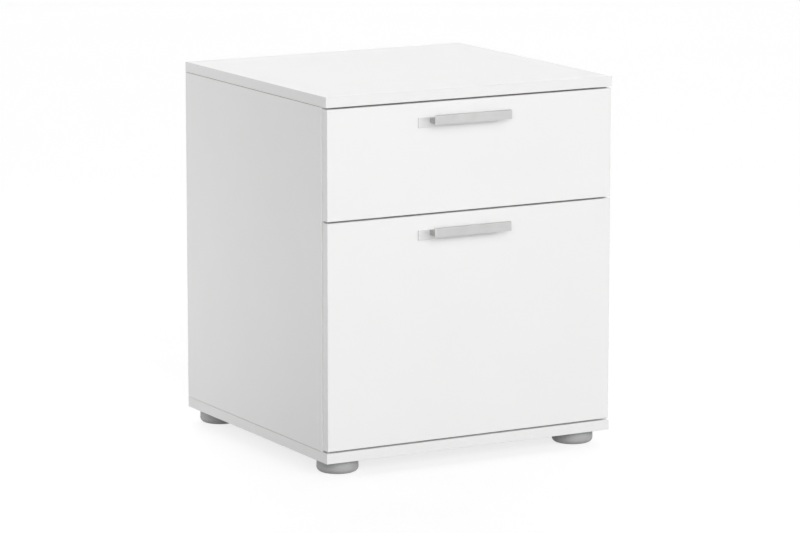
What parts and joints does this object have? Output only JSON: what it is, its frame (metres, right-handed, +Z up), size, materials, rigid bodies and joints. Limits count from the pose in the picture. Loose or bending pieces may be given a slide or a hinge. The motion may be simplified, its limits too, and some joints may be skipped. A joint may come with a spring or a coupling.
{
  "type": "filing cabinet",
  "caption": "Low pedestal filing cabinet in white coated board: a shallow drawer over a deep filing drawer, with bar handles, telescopic slides and round plastic feet.",
  "frame": {"origin": "centre of the object's footprint (its whole outline seen from above, handles included), on the floor under the feet", "axes": "+X to the right of someone facing the drawers, +Y to the back of the cabinet, +Z up; the drawers open along -Y"},
  "size_m": [0.466, 0.462, 0.5405],
  "materials": {
    "white_board": "particle board with white satin melamine coating and matching edge bands",
    "white_sheet": "thin hardboard, lacquered white",
    "satin_metal": "satin silver grey",
    "foot_plastic": "moulded mid-grey plastic, fine texture",
    "slide_steel": "zinc-plated rolled steel",
    "zinc_fitting": "zinc-plated",
    "beech_dowel": "plain beech"
  },
  "bodies": {
    "carcass": {"top_panel": "white_board", "base_panel": "white_board", "left_side_panel": "white_board", "right_side_panel": "white_board", "back_panel": "white_sheet", "carcass_cam_locks": "zinc_fitting", "carcass_cam_bolts": "zinc_fitting", "carcass_dowels": "beech_dowel", "front_left_foot": "foot_plastic", "front_right_foot": "foot_plastic", "back_left_foot": "foot_plastic", "back_right_foot": "foot_plastic", "foot_screws": "zinc_fitting", "upper_left_outer_slide": "slide_steel", "upper_right_outer_slide": "slide_steel", "lower_left_outer_slide": "slide_steel", "lower_right_outer_slide": "slide_steel", "outer_slide_screws": "zinc_fitting"},
    "upper_drawer": {"upper_drawer_front": "white_board", "upper_drawer_left_side": "white_board", "upper_drawer_right_side": "white_board", "upper_drawer_back": "white_board", "upper_drawer_bottom": "white_sheet", "upper_handle_plate": "satin_metal", "upper_handle_grip": "satin_metal", "upper_handle_screws": "zinc_fitting", "upper_left_inner_slide": "slide_steel", "upper_right_inner_slide": "slide_steel", "upper_inner_slide_screws": "zinc_fitting", "upper_drawer_cam_locks": "zinc_fitting", "upper_drawer_cam_bolts": "zinc_fitting", "upper_drawer_box_screws": "zinc_fitting"},
    "upper_middle_slides": {"upper_left_middle_slide": "slide_steel", "upper_right_middle_slide": "slide_steel"},
    "upper_outer_cages": {"upper_outer_ball_cages": "slide_steel"},
    "upper_inner_cages": {"upper_inner_ball_cages": "slide_steel"},
    "lower_drawer": {"lower_drawer_front": "white_board", "lower_drawer_left_side": "white_board", "lower_drawer_right_side": "white_board", "lower_drawer_back": "white_board", "lower_drawer_bottom": "white_sheet", "lower_handle_plate": "satin_metal", "lower_handle_grip": "satin_metal", "lower_handle_screws": "zinc_fitting", "lower_left_inner_slide": "slide_steel", "lower_right_inner_slide": "slide_steel", "lower_inner_slide_screws": "zinc_fitting", "lower_drawer_cam_locks": "zinc_fitting", "lower_drawer_cam_bolts": "zinc_fitting", "lower_drawer_box_screws": "zinc_fitting", "left_file_rail": "slide_steel", "right_file_rail": "slide_steel", "file_rail_screws": "zinc_fitting"},
    "lower_middle_slides": {"lower_left_middle_slide": "slide_steel", "lower_right_middle_slide": "slide_steel"},
    "lower_outer_cages": {"lower_outer_ball_cages": "slide_steel"},
    "lower_inner_cages": {"lower_inner_ball_cages": "slide_steel"}
  },
  "joints": [
    {"name": "upper_drawer_slide", "type": "slide", "parent": "carcass", "child": "upper_drawer", "axis": [0, -1, 0], "range_m": [0, 0.38]},
    {"name": "upper_middle_slides_travel", "type": "slide", "parent": "carcass", "child": "upper_middle_slides", "axis": [0, -1, 0], "range_m": [0, 0.19]},
    {"name": "upper_outer_cages_travel", "type": "slide", "parent": "carcass", "child": "upper_outer_cages", "axis": [0, -1, 0], "range_m": [0, 0.095]},
    {"name": "upper_inner_cages_travel", "type": "slide", "parent": "carcass", "child": "upper_inner_cages", "axis": [0, -1, 0], "range_m": [0, 0.285]},
    {"name": "lower_drawer_slide", "type": "slide", "parent": "carcass", "child": "lower_drawer", "axis": [0, -1, 0], "range_m": [0, 0.38]},
    {"name": "lower_middle_slides_travel", "type": "slide", "parent": "carcass", "child": "lower_middle_slides", "axis": [0, -1, 0], "range_m": [0, 0.19]},
    {"name": "lower_outer_cages_travel", "type": "slide", "parent": "carcass", "child": "lower_outer_cages", "axis": [0, -1, 0], "range_m": [0, 0.095]},
    {"name": "lower_inner_cages_travel", "type": "slide", "parent": "carcass", "child": "lower_inner_cages", "axis": [0, -1, 0], "range_m": [0, 0.285]}
  ],
  "couplings": [
    {"joint": "upper_middle_slides_travel", "follows": "upper_drawer_slide", "ratio": 0.5},
    {"joint": "upper_outer_cages_travel", "follows": "upper_drawer_slide", "ratio": 0.25},
    {"joint": "upper_inner_cages_travel", "follows": "upper_drawer_slide", "ratio": 0.75},
    {"joint": "lower_middle_slides_travel", "follows": "lower_drawer_slide", "ratio": 0.5},
    {"joint": "lower_outer_cages_travel", "follows": "lower_drawer_slide", "ratio": 0.25},
    {"joint": "lower_inner_cages_travel", "follows": "lower_drawer_slide", "ratio": 0.75}
  ]
}
